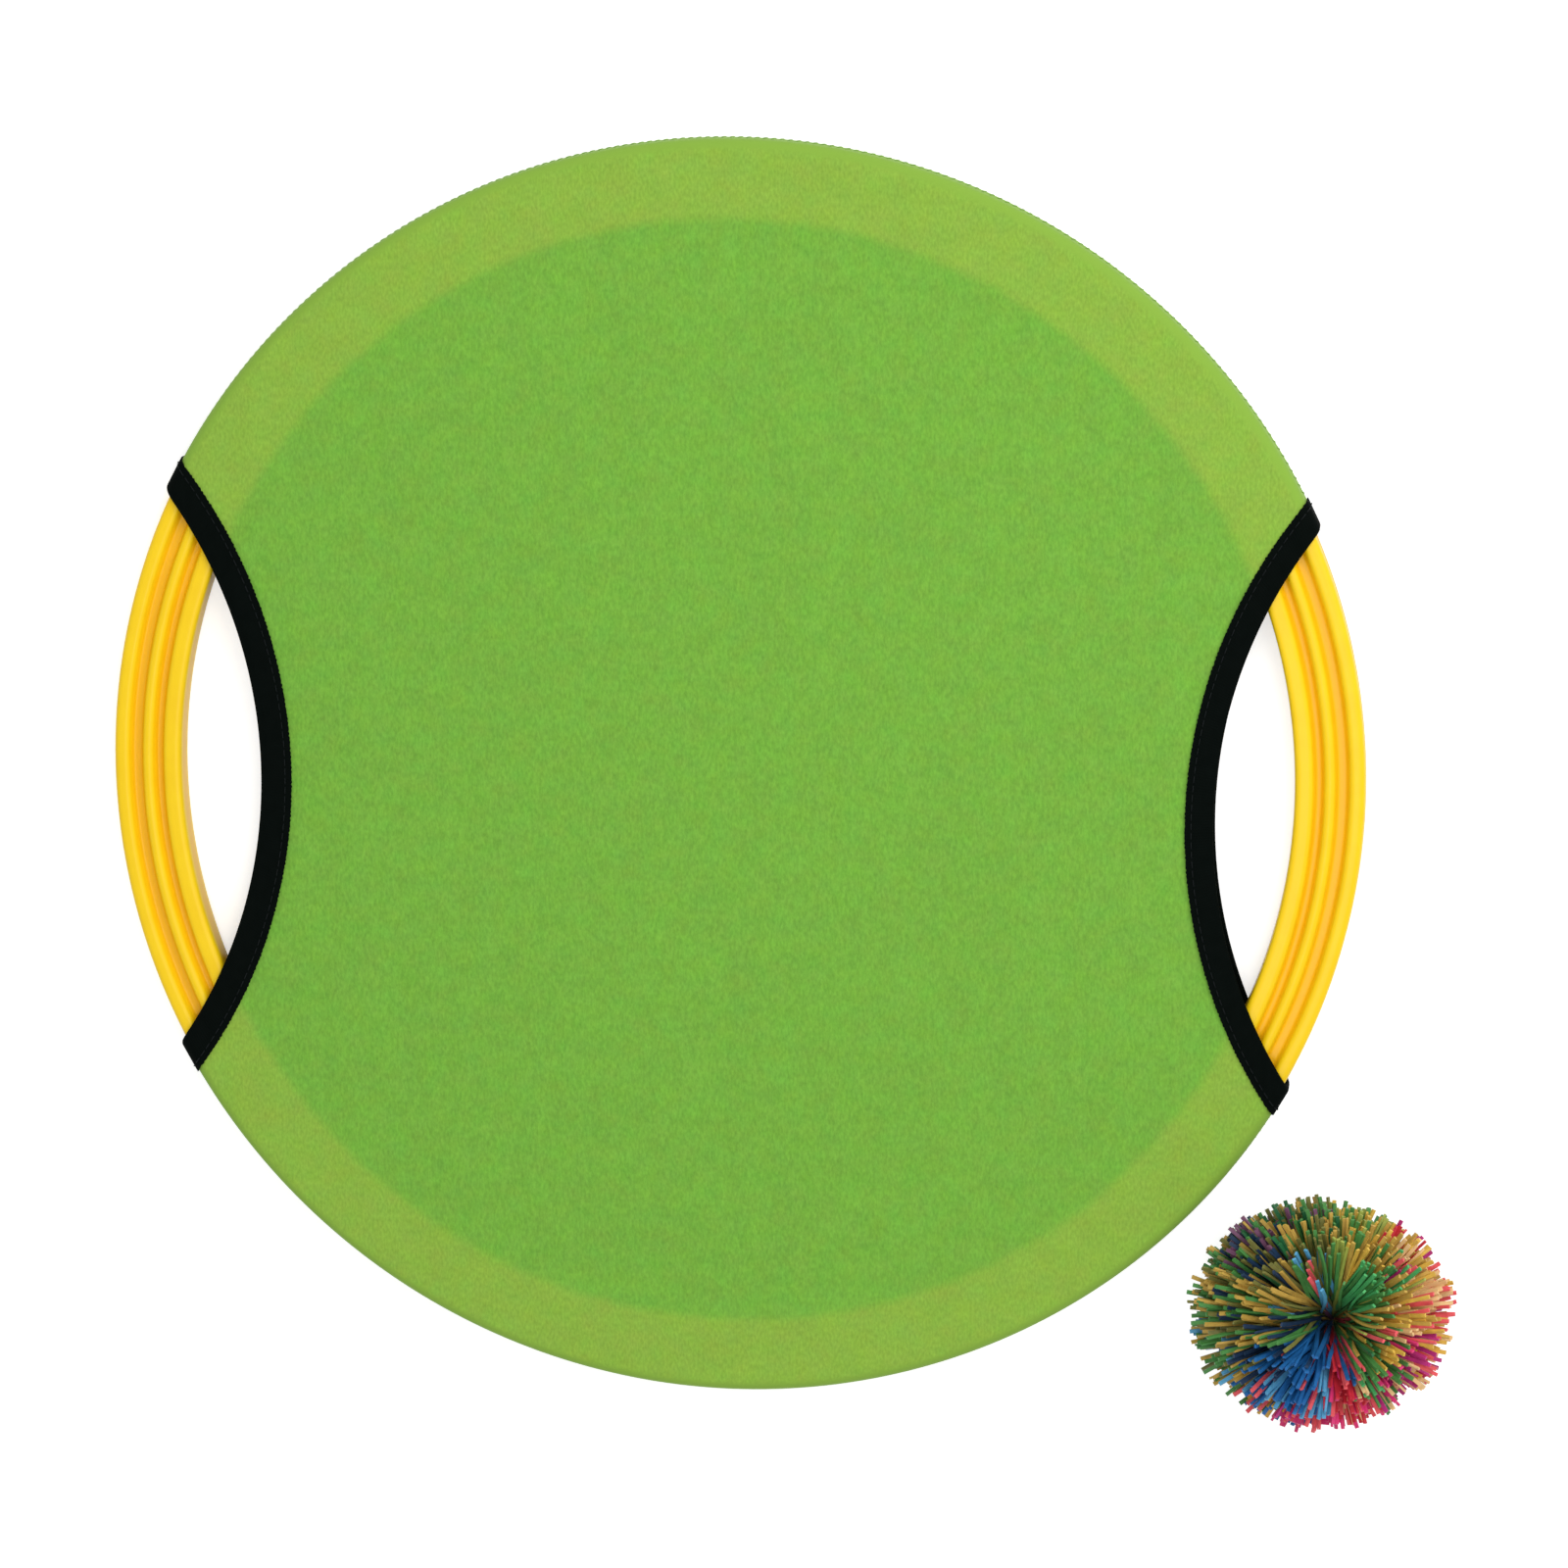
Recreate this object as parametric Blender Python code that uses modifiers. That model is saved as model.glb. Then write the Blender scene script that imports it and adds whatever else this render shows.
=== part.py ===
"""Trampoline paddle ball set, modelled in metres with +Z up.

The paddle lies on its back face: a ribbed hoop inside a knit cover, whose two mouths are bound
with folded tape and leave the hoop bare as hand holds. The origin is on the floor under the
paddle's centre, +X points to the right hand hold and +Y to the top of the rim. The string ball
stands on the same floor, beside the lower right of the rim.
"""

import math
import random

import bmesh
import bpy
from mathutils import Matrix, Vector

# Hoop: one moulding with three ribs and two grooves on each face, named from the outside inwards
HOOP_OUTER_RADIUS = 0.200
HOOP_THICKNESS = 0.011
OUTER_RIB_WIDTH = 0.0042
OUTER_GROOVE_WIDTH = 0.0050
MIDDLE_RIB_WIDTH = 0.0030
INNER_GROOVE_WIDTH = 0.0036
INNER_RIB_WIDTH = 0.0038
INNER_EDGE_RADIUS = 0.0024
OUTER_EDGE_RADIUS = 0.0022
GROOVE_DEPTH = 0.0035
GROOVE_WALL_SLOPE = 0.0005

# Cover: two knit panels, and tape folded over their edges round each hand hold
KNIT_THICKNESS = 0.0007
TAPE_THICKNESS = 0.0004
TAPE_WIDTH = 0.0095
HAND_GAP = 0.0255
HAND_ARC_RADIUS = 0.1545
HAND_HOLDS = (("left", math.radians(181.0)), ("right", math.radians(-1.9)))

# Ball: rubber strands gathered in a tie, fanned out above and below it
BALL_REACH = 0.042
BALL_FRONT_REACH = 0.0368
BALL_RISE = 0.038
BALL_CENTRE_HEIGHT = 0.036
BALL_CLEARANCE = 0.005
BALL_BEARING = math.radians(-40.2)
TIE_SHIFT = Vector((0.0036, -0.0017, 0.0))
SHORTEST_STRAND = 0.80
THINNEST_STRAND = 0.55
THICKEST_STRAND = 0.85
HEAD_RADIUS = 0.0115
HEAD_OFFSET = 0.0045
CROWN_ANGLE = math.radians(18)
SKIRT_ANGLE = math.radians(97)
STRAND_ROWS = 7
STRAND_COLUMNS = 3
TIE_INNER_RADIUS = 0.0061
TIE_CORD_RADIUS = 0.0013
BUNDLES = (
    ("peach", (0.80, 0.50, 0.20)),
    ("apricot", (0.70, 0.38, 0.08)),
    ("mustard", (0.55, 0.36, 0.03)),
    ("leaf_green", (0.06, 0.27, 0.07)),
    ("plum", (0.17, 0.06, 0.12)),
    ("ochre", (0.42, 0.25, 0.03)),
    ("navy", (0.01, 0.03, 0.09)),
    ("lime", (0.25, 0.33, 0.05)),
    ("blue", (0.01, 0.13, 0.36)),
    ("scarlet", (0.62, 0.03, 0.04)),
    ("rose", (0.68, 0.05, 0.16)),
    ("dark_green", (0.01, 0.14, 0.03)),
)

# Clearance between pieces that touch, and how finely round shapes are cut
FIT_GAP = 0.00025
RIM_STEPS = 64
ARC_STEPS = 96
CORNER_STEPS = 3
TIE_STEPS = 24
CORD_STEPS = 8
FACET_SHARE = 0.05
PLACE_DIGITS = 6
MERGE_DISTANCE = 0.00001
CUTTER_MARGIN = 0.010
SEED = 11

# Places that follow from the sizes above
HOOP_INNER_RADIUS = (
    HOOP_OUTER_RADIUS
    - OUTER_RIB_WIDTH
    - OUTER_GROOVE_WIDTH
    - MIDDLE_RIB_WIDTH
    - INNER_GROOVE_WIDTH
    - INNER_RIB_WIDTH
    - INNER_EDGE_RADIUS
)
TAPE_INNER = FIT_GAP
SLOT_INNER = TAPE_INNER + TAPE_THICKNESS
KNIT_INNER = SLOT_INNER + FIT_GAP
KNIT_OUTER = KNIT_INNER + KNIT_THICKNESS
SLOT_OUTER = KNIT_OUTER + FIT_GAP
TAPE_OUTER = SLOT_OUTER + TAPE_THICKNESS
MIDDLE_HEIGHT = HOOP_THICKNESS / 2 + TAPE_OUTER
HALF_ARC_STEP = math.pi / ARC_STEPS
HAND_ARC_CENTRE = HOOP_INNER_RADIUS - HAND_GAP + HAND_ARC_RADIUS
SLEEVE_START = HAND_ARC_CENTRE - HAND_ARC_RADIUS - TAPE_WIDTH - CUTTER_MARGIN
BALL_DISTANCE = HOOP_OUTER_RADIUS + TAPE_OUTER + BALL_CLEARANCE + BALL_REACH
BALL_CENTRE = Vector(
    (
        BALL_DISTANCE * math.cos(BALL_BEARING),
        BALL_DISTANCE * math.sin(BALL_BEARING),
        BALL_CENTRE_HEIGHT,
    )
)
TIE_CENTRE = BALL_CENTRE + TIE_SHIFT


def clear_scene():
    for item in list(bpy.data.objects):
        bpy.data.objects.remove(item, do_unlink=True)


def collection(name):
    """Return a new collection linked to the scene."""
    group = bpy.data.collections.new(name)
    bpy.context.scene.collection.children.link(group)
    return group


def finish(name, colour, roughness):
    """Return a material of one colour."""
    material = bpy.data.materials.new(name)
    material.use_nodes = True
    surface = material.node_tree.nodes["Principled BSDF"]
    surface.inputs["Base Color"].default_value = (*colour, 1.0)
    surface.inputs["Roughness"].default_value = roughness
    surface.inputs["Metallic"].default_value = 0.0
    material.diffuse_color = (*colour, 1.0)
    return material


def place(name, mesh, group, location=(0.0, 0.0, 0.0)):
    """Return an object for the mesh, linked to the collection."""
    item = bpy.data.objects.new(name, mesh)
    item.location = location
    group.objects.link(item)
    return item


def make_cutter(item):
    item.hide_render = True
    item.display_type = "WIRE"


def turned(name, profile, group, location, closed=False, steps=RIM_STEPS):
    """Return an object that turns a profile of (radius, height) points about its own Z axis."""
    points = [(radius, 0.0, height) for radius, height in profile]
    edges = [(i, i + 1) for i in range(len(points) - 1)]
    if closed:
        edges.append((len(points) - 1, 0))
    mesh = bpy.data.meshes.new(name)
    mesh.from_pydata(points, edges, [])
    item = place(name, mesh, group, location)
    screw = item.modifiers.new("Turn", "SCREW")
    screw.axis = "Z"
    screw.angle = math.tau
    screw.steps = steps
    screw.render_steps = steps
    screw.use_merge_vertices = True
    screw.merge_threshold = MERGE_DISTANCE
    return item


def cut(item, tool, operation="DIFFERENCE"):
    boolean = item.modifiers.new(operation.title(), "BOOLEAN")
    boolean.operation = operation
    boolean.object = tool


def corner(centre_radius, centre_height, radius, start, end):
    """Return the points of an arc in the profile's plane, angles from +radius towards +height."""
    points = []
    for step in range(CORNER_STEPS + 1):
        angle = start + (end - start) * step / CORNER_STEPS
        points.append(
            (centre_radius + radius * math.cos(angle), centre_height + radius * math.sin(angle))
        )
    return points


def mirrored(upper):
    """Return an upper half profile with its lower half added, top to bottom."""
    return upper + [(radius, -height) for radius, height in reversed(upper)]


def groove(outer_radius, width):
    """Return the points of one groove in the front face, from its outer lip to its inner lip."""
    top = HOOP_THICKNESS / 2
    floor = top - GROOVE_DEPTH
    inner_radius = outer_radius - width
    return [
        (outer_radius, top),
        (outer_radius - GROOVE_WALL_SLOPE, floor),
        (inner_radius + GROOVE_WALL_SLOPE, floor),
        (inner_radius, top),
    ]


def hoop_profile():
    """Return the hoop's section: front face from the inner wall out, then the back face."""
    top = HOOP_THICKNESS / 2
    outer_groove = HOOP_OUTER_RADIUS - OUTER_RIB_WIDTH
    inner_groove = outer_groove - OUTER_GROOVE_WIDTH - MIDDLE_RIB_WIDTH
    outer_edge = corner(
        HOOP_OUTER_RADIUS - OUTER_EDGE_RADIUS,
        top - OUTER_EDGE_RADIUS,
        OUTER_EDGE_RADIUS,
        0.0,
        math.pi / 2,
    )
    inner_edge = corner(
        HOOP_INNER_RADIUS + INNER_EDGE_RADIUS,
        top - INNER_EDGE_RADIUS,
        INNER_EDGE_RADIUS,
        math.pi / 2,
        math.pi,
    )
    front = outer_edge
    front += groove(outer_groove, OUTER_GROOVE_WIDTH)
    front += groove(inner_groove, INNER_GROOVE_WIDTH)
    front += inner_edge
    return mirrored(list(reversed(front)))


def half_contour(offset, start):
    """Return the cover's section at a distance off the hoop, from its front face to its side."""
    face = HOOP_THICKNESS / 2 + offset
    rim = corner(
        HOOP_OUTER_RADIUS - OUTER_EDGE_RADIUS,
        HOOP_THICKNESS / 2 - OUTER_EDGE_RADIUS,
        OUTER_EDGE_RADIUS + offset,
        math.pi / 2,
        0.0,
    )
    return [(start, face)] + rim


def sleeve_profile(inner, outer, start):
    """Return the closed section of a layer that runs over the front, round the rim and back."""
    outside = mirrored(half_contour(outer, start))
    inside = mirrored(half_contour(inner, start))
    return outside + list(reversed(inside))


def panel_profile():
    """Return the front panel's section, from the centre to the rim seam and back."""
    seam = FIT_GAP / 2
    outer = half_contour(KNIT_OUTER, 0.0) + [(HOOP_OUTER_RADIUS + KNIT_OUTER, seam)]
    inner = half_contour(KNIT_INNER, 0.0) + [(HOOP_OUTER_RADIUS + KNIT_INNER, seam)]
    return outer + list(reversed(inner))


def arc_centre(bearing):
    """Return the centre of the arc that cuts the cover away at the hand hold of this bearing."""
    return (
        HAND_ARC_CENTRE * math.cos(bearing),
        HAND_ARC_CENTRE * math.sin(bearing),
        MIDDLE_HEIGHT,
    )


def hand_hole(bearing, radius, group, name):
    """Return an upright round cutter whose rim follows the arc of one hand hold."""
    bpy.ops.mesh.primitive_cylinder_add(
        vertices=ARC_STEPS,
        radius=radius,
        depth=2 * (MIDDLE_HEIGHT + CUTTER_MARGIN),
        location=arc_centre(bearing),
        rotation=(0.0, 0.0, HALF_ARC_STEP),
    )
    item = bpy.context.object
    item.name = name
    for owner in list(item.users_collection):
        owner.objects.unlink(item)
    group.objects.link(item)
    make_cutter(item)
    return item


def build_hoop(group):
    hoop = turned("hoop", hoop_profile(), group, (0.0, 0.0, MIDDLE_HEIGHT), closed=True)
    hoop.data.materials.append(finish("yellow_plastic", (0.96, 0.60, 0.03), 0.32))
    return hoop


def build_panels(group, cutters):
    """Build both knit panels: a shallow turned dish each, cut away round the hand holds."""
    knit = finish("green_knit", (0.20, 0.44, 0.06), 0.85)
    edge = HAND_ARC_RADIUS + TAPE_THICKNESS + FIT_GAP
    holes = [
        hand_hole(bearing, edge, cutters, f"{side}_panel_edge") for side, bearing in HAND_HOLDS
    ]
    front = panel_profile()
    back = [(radius, -height) for radius, height in reversed(front)]
    for name, profile in (("front_panel", front), ("back_panel", back)):
        panel = turned(name, profile, group, (0.0, 0.0, MIDDLE_HEIGHT))
        panel.data.materials.append(knit)
        for hole in holes:
            cut(panel, hole)


def build_bindings(group, cutters):
    """Build the tape loops: a strip of a layer round the hoop, slotted for the panels' edges."""
    tape = finish("black_tape", (0.004, 0.007, 0.006), 0.8)
    centre = (0.0, 0.0, MIDDLE_HEIGHT)
    slot = turned(
        "panel_slot",
        sleeve_profile(SLOT_INNER, SLOT_OUTER, SLEEVE_START - CUTTER_MARGIN),
        cutters,
        centre,
        closed=True,
    )
    make_cutter(slot)
    tape_top = MIDDLE_HEIGHT + CUTTER_MARGIN
    strip = [
        (HAND_ARC_RADIUS + TAPE_WIDTH, tape_top),
        (HAND_ARC_RADIUS + TAPE_WIDTH, -tape_top),
        (HAND_ARC_RADIUS, -tape_top),
        (HAND_ARC_RADIUS, tape_top),
    ]
    for side, bearing in HAND_HOLDS:
        fold = HAND_ARC_RADIUS + TAPE_THICKNESS
        cut(slot, hand_hole(bearing, fold, cutters, f"{side}_fold"))
    for side, bearing in HAND_HOLDS:
        band = turned(
            f"{side}_tape_path", strip, cutters, arc_centre(bearing), closed=True, steps=ARC_STEPS
        )
        band.rotation_euler.z = HALF_ARC_STEP
        make_cutter(band)
        binding = turned(
            f"{side}_binding",
            sleeve_profile(TAPE_INNER, TAPE_OUTER, SLEEVE_START),
            group,
            centre,
            closed=True,
        )
        binding.data.materials.append(tape)
        cut(binding, band, "INTERSECT")
        cut(binding, slot)


def build_tie(group):
    """Build the tie that holds the strands at the ball's waist."""
    bpy.ops.mesh.primitive_torus_add(
        major_radius=TIE_INNER_RADIUS + TIE_CORD_RADIUS,
        minor_radius=TIE_CORD_RADIUS,
        major_segments=TIE_STEPS,
        minor_segments=CORD_STEPS,
        location=TIE_CENTRE,
    )
    tie = bpy.context.object
    tie.name = "ball_tie"
    for owner in list(tie.users_collection):
        owner.objects.unlink(tie)
    group.objects.link(tie)
    tie.data.shade_smooth()
    tie.data.materials.append(finish("tie_cord", (0.02, 0.02, 0.02), 0.6))


def bundle_profile(waist):
    """Return half a bundle's section: a round head above the tie and one below it."""
    upper = [(0.0, HEAD_OFFSET + HEAD_RADIUS)]
    for row in range(STRAND_ROWS + 1):
        angle = CROWN_ANGLE + (SKIRT_ANGLE - CROWN_ANGLE) * row / STRAND_ROWS
        upper.append(
            (HEAD_RADIUS * math.sin(angle), HEAD_OFFSET + HEAD_RADIUS * math.cos(angle))
        )
    upper.append((waist, TIE_CORD_RADIUS + 2 * FIT_GAP))
    return mirrored(upper)


def is_strand_root(face):
    """Tell whether a face of a head carries a strand: not its crown, neck or cut sides."""
    centre = face.calc_center_median()
    across = math.hypot(centre.x, centre.y)
    head = Vector((0.0, 0.0, math.copysign(HEAD_OFFSET, centre.z)))
    angle = math.atan2(across, abs(centre.z) - HEAD_OFFSET)
    on_head = abs((centre - head).length - HEAD_RADIUS) < HEAD_RADIUS * FACET_SHARE
    return on_head and CROWN_ANGLE < angle < SKIRT_ANGLE


def place_on_head(face):
    """Return a key that puts a slice's faces in the same order each time it is built."""
    return face.calc_center_median().to_tuple(PLACE_DIGITS)


def full_length(line):
    """Return how far the ball's outline lies from its tie, which sits off the ball's centre."""
    reach = Vector((BALL_REACH, BALL_FRONT_REACH, BALL_RISE))
    slope = Vector([line[axis] / reach[axis] for axis in range(3)])
    shift = Vector([-TIE_SHIFT[axis] / reach[axis] for axis in range(3)])
    along = slope.dot(shift)
    inside = 1.0 - shift.length_squared
    return (along + math.sqrt(along**2 + slope.length_squared * inside)) / slope.length_squared


def strand_length(line, chance):
    """Return how far a strand runs from its head: random, but full by the crown and the foot."""
    row_angle = (SKIRT_ANGLE - CROWN_ANGLE) / STRAND_ROWS
    by_the_pole = abs(line.z) > math.cos(CROWN_ANGLE + row_angle)
    if by_the_pole and line.z < 0.0:
        return (HEAD_OFFSET - BALL_CENTRE_HEIGHT) / line.z
    share = 1.0 if by_the_pole else chance.uniform(SHORTEST_STRAND, 1.0)
    return share * full_length(line) - HEAD_OFFSET


def draw_out(face, root, chance):
    """Draw a face out into a strand that widens to fill a share of its cone at the tip."""
    head = Vector((0.0, 0.0, math.copysign(HEAD_OFFSET, root.z)))
    line = (root - head).normalized()
    length = strand_length(line, chance)
    tip = head + line * length
    widening = chance.uniform(THINNEST_STRAND, THICKEST_STRAND) * length / HEAD_RADIUS
    for vertex in face.verts:
        vertex.co = tip + (vertex.co - root) * widening
        vertex.co.z = max(vertex.co.z, -BALL_CENTRE_HEIGHT)


def build_bundles(group):
    """Build the strands: equal slices round the tie's axis, each one closed body."""
    chance = random.Random(SEED)
    slice_angle = math.tau / len(BUNDLES)
    shift = FIT_GAP / 2 / math.sin(slice_angle / 2)
    waist = TIE_INNER_RADIUS - FIT_GAP - shift
    profile = bundle_profile(waist)
    for index, (colour_name, colour) in enumerate(BUNDLES):
        shape = bmesh.new()
        outline = [shape.verts.new((radius, 0.0, height)) for radius, height in profile]
        side = shape.faces.new(outline)
        bmesh.ops.spin(
            shape,
            geom=[side],
            axis=(0.0, 0.0, 1.0),
            cent=(0.0, 0.0, 0.0),
            angle=slice_angle,
            steps=STRAND_COLUMNS,
        )
        bmesh.ops.remove_doubles(shape, verts=shape.verts, dist=MERGE_DISTANCE)
        bmesh.ops.recalc_face_normals(shape, faces=shape.faces)
        turn = Matrix.Rotation(index * slice_angle, 4, "Z")
        bmesh.ops.transform(shape, matrix=turn, verts=shape.verts)
        roots = [face for face in shape.faces if is_strand_root(face)]
        strands = bmesh.ops.extrude_discrete_faces(shape, faces=roots)["faces"]
        for strand in sorted(strands, key=place_on_head):
            draw_out(strand, strand.calc_center_median(), chance)
        middle = Matrix.Rotation((index + 0.5) * slice_angle, 4, "Z") @ Vector((shift, 0.0, 0.0))
        name = f"strands_{index + 1:02d}_{colour_name}"
        mesh = bpy.data.meshes.new(name)
        shape.to_mesh(mesh)
        shape.free()
        mesh.materials.append(finish(f"rubber_{colour_name}", colour, 0.5))
        place(name, mesh, group, TIE_CENTRE + middle)


clear_scene()
toy = collection("trampoline_paddle_ball_set")
cutter_group = collection("cutters")
build_hoop(toy)
build_panels(toy, cutter_group)
build_bindings(toy, cutter_group)
build_tie(toy)
build_bundles(toy)
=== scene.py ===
import math
import random

import bmesh
import bpy
from mathutils import Matrix, Vector


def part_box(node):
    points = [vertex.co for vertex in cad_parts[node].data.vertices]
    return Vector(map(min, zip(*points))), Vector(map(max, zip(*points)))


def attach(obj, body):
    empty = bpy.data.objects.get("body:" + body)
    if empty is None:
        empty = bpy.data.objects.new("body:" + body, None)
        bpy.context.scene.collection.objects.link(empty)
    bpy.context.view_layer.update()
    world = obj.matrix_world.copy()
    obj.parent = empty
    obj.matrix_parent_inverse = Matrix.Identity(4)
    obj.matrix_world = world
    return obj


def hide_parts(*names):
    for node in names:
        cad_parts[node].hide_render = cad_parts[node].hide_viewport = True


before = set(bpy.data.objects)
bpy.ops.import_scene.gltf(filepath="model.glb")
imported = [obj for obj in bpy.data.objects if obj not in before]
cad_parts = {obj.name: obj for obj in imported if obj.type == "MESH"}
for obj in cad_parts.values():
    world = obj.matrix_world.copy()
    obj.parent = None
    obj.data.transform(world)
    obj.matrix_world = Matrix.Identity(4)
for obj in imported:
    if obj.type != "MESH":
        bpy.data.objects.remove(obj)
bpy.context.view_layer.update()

MM = 0.001

# Hoop
# One ring moulded in yellow polypropylene, with three ribs and two grooves on each face that keep
# it stiff and light. The mould's halves met round its outer side, where they left a fine line.
hoop_low, hoop_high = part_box("hoop")
HOOP_RADIUS = (hoop_high.x - hoop_low.x) / 2
HOOP_THICKNESS = hoop_high.z - hoop_low.z
MIDDLE_HEIGHT = (hoop_high.z + hoop_low.z) / 2
OUTER_RIB = 4.7 * MM
OUTER_GROOVE = 4.9 * MM
MIDDLE_RIB = 2.9 * MM
INNER_GROOVE = 3.9 * MM
INNER_RIB = 3.4 * MM
INNER_EDGE = 2.2 * MM
OUTER_EDGE = 2.2 * MM
GROOVE_DEPTH = 3.5 * MM
GROOVE_DRAFT = 1.0 * MM
RIB_EASE = 1.4 * MM
FLOOR_SHADE = 1.2 * MM
FLOOR_EASE = 0.75 * MM
PARTING_RISE = 0.12 * MM
PARTING_HALF_WIDTH = 0.3 * MM
EASE_STEPS = 7
HOOP_STEPS = 288
HOOP_CREASE = 60.0
FLOW_GRAIN = 9.0 * MM
FLOW_HEIGHT = 0.5 * MM
MERGE_DISTANCE = 0.001 * MM


def linear(colour):
    """Return an sRGB hex colour as linear red, green, blue and alpha."""
    shares = [int(colour[i : i + 2], 16) / 255 for i in (1, 3, 5)]
    return tuple(s / 12.92 if s <= 0.04045 else ((s + 0.055) / 1.055) ** 2.4 for s in shares) + (1.0,)


def add(tree, kind, sockets, **settings):
    """Add a node to a tree: sockets gives its inputs' values, or the outputs that feed them."""
    node = tree.nodes.new(kind)
    for name, value in settings.items():
        setattr(node, name, value)
    for key, value in sockets.items():
        if isinstance(value, bpy.types.NodeSocket):
            tree.links.new(value, node.inputs[key])
        else:
            node.inputs[key].default_value = value
    return node


def finish(name, **sockets):
    """Return a new material with its node tree and shader, whose plain values are the sockets."""
    material = bpy.data.materials.new(name)
    material.use_nodes = True
    shader = material.node_tree.nodes["Principled BSDF"]
    for key, value in sockets.items():
        shader.inputs[key.replace("_", " ")].default_value = value
    return material, material.node_tree, shader


def eased(corners, steps):
    """Return a section's points with each corner (radius, height, ease) rounded off."""
    line = []
    for index, (radius, height, ease) in enumerate(corners):
        corner = Vector((radius, height))
        if ease == 0.0:
            line.append(corner)
            continue
        before = Vector(corners[index - 1][:2]) - corner
        after = Vector(corners[(index + 1) % len(corners)][:2]) - corner
        start = corner + before.normalized() * ease
        end = corner + after.normalized() * ease
        for step in range(steps + 1):
            share = step / steps
            line.append(start * (1 - share) ** 2 + corner * 2 * share * (1 - share) + end * share**2)
    return line


def turned(section, steps, height):
    """Return the points and faces of a closed section turned about the paddle's axis."""
    points = []
    faces = []
    count = len(section)
    for step in range(steps):
        angle = math.tau * step / steps
        points += [(r * math.cos(angle), r * math.sin(angle), height + z) for r, z in section]
        here, there = step * count, (step + 1) % steps * count
        for i in range(count):
            j = (i + 1) % count
            if section[i][0] > 0.0 or section[j][0] > 0.0:
                faces.append((here + i, there + i, there + j, here + j))
    return points, faces


def piece(name, points, faces, materials, indices=None, crease=40.0):
    """Return a smooth piece made of these points and faces, with its normals facing out."""
    mesh = bpy.data.meshes.new(name)
    mesh.from_pydata(points, [], faces)
    for material in materials:
        mesh.materials.append(material)
    if indices:
        mesh.polygons.foreach_set("material_index", indices)
    shape = bmesh.new()
    shape.from_mesh(mesh)
    bmesh.ops.remove_doubles(shape, verts=shape.verts, dist=MERGE_DISTANCE)
    bmesh.ops.recalc_face_normals(shape, faces=shape.faces)
    shape.to_mesh(mesh)
    shape.free()
    mesh.shade_smooth()
    mesh.set_sharp_from_angle(angle=math.radians(crease))
    item = bpy.data.objects.new(name, mesh)
    bpy.context.scene.collection.objects.link(item)
    return item


top = HOOP_THICKNESS / 2
groove_floor = top - GROOVE_DEPTH
outer_lip = HOOP_RADIUS - OUTER_RIB
middle_lip = outer_lip - OUTER_GROOVE - MIDDLE_RIB
inner_lip = middle_lip - INNER_GROOVE
inner_side = inner_lip - INNER_RIB - INNER_EDGE
upper = [(inner_side, top, INNER_EDGE)]
for lip, width in ((inner_lip + INNER_GROOVE, INNER_GROOVE), (outer_lip, OUTER_GROOVE)):
    upper += [
        (lip - width, top, RIB_EASE),
        (lip - width + GROOVE_DRAFT, groove_floor, FLOOR_EASE),
        (lip - GROOVE_DRAFT, groove_floor, FLOOR_EASE),
        (lip, top, RIB_EASE),
    ]
upper += [(HOOP_RADIUS, top, OUTER_EDGE), (HOOP_RADIUS, PARTING_HALF_WIDTH, 0.0)]
lower = [(radius, -height, ease) for radius, height, ease in reversed(upper)]
hoop_section = eased(upper + [(HOOP_RADIUS + PARTING_RISE, 0.0, 0.0)] + lower, EASE_STEPS)

# Moulded polypropylene: satin gloss, a warm yellow with painted shade that turns it orange down in the
# grooves and on the sides, and a very shallow waviness left by the flow of the plastic
polypropylene, tree, shader = finish(
    "moulded_polypropylene", Roughness=0.36, IOR=1.49, Specular_IOR_Level=0.3
)
place = add(tree, "ShaderNodeTexCoord", {})
flow = add(
    tree,
    "ShaderNodeTexNoise",
    {"Vector": place.outputs["Object"], "Scale": 1 / FLOW_GRAIN, "Detail": 2.0},
)
yellow = add(
    tree,
    "ShaderNodeMix",
    {0: flow.outputs["Fac"], 6: linear("#F7CA0C"), 7: linear("#FDD614")},
    data_type="RGBA",
)
spot = add(tree, "ShaderNodeSeparateXYZ", {0: place.outputs["Object"]})
off_middle = add(tree, "ShaderNodeMath", {0: spot.outputs["Z"], 1: MIDDLE_HEIGHT}, operation="SUBTRACT")
depth = add(tree, "ShaderNodeMath", {0: off_middle.outputs[0]}, operation="ABSOLUTE")
# Painted shade: the plastic turns a darker orange wherever it lies no further from the hoop's middle plane
# than the groove floors, that is on the groove floors and round the sides
out_of_painted_shade = add(
    tree,
    "ShaderNodeMapRange",
    {"Value": depth.outputs[0], "From Min": groove_floor, "From Max": groove_floor + FLOOR_SHADE},
)
shade = add(
    tree,
    "ShaderNodeMix",
    {0: out_of_painted_shade.outputs["Result"], 6: linear("#F2BC16"), 7: yellow.outputs[2]},
    data_type="RGBA",
)
ripple = add(
    tree, "ShaderNodeBump", {"Height": flow.outputs["Fac"], "Strength": 0.15, "Distance": FLOW_HEIGHT}
)
tree.links.new(shade.outputs[2], shader.inputs["Base Color"])
tree.links.new(ripple.outputs["Normal"], shader.inputs["Normal"])

hoop_points, hoop_faces = turned(hoop_section, HOOP_STEPS, MIDDLE_HEIGHT)
hoop = piece("moulded_hoop", hoop_points, hoop_faces, [polypropylene], crease=HOOP_CREASE)
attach(hoop, "root")
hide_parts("hoop")

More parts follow.
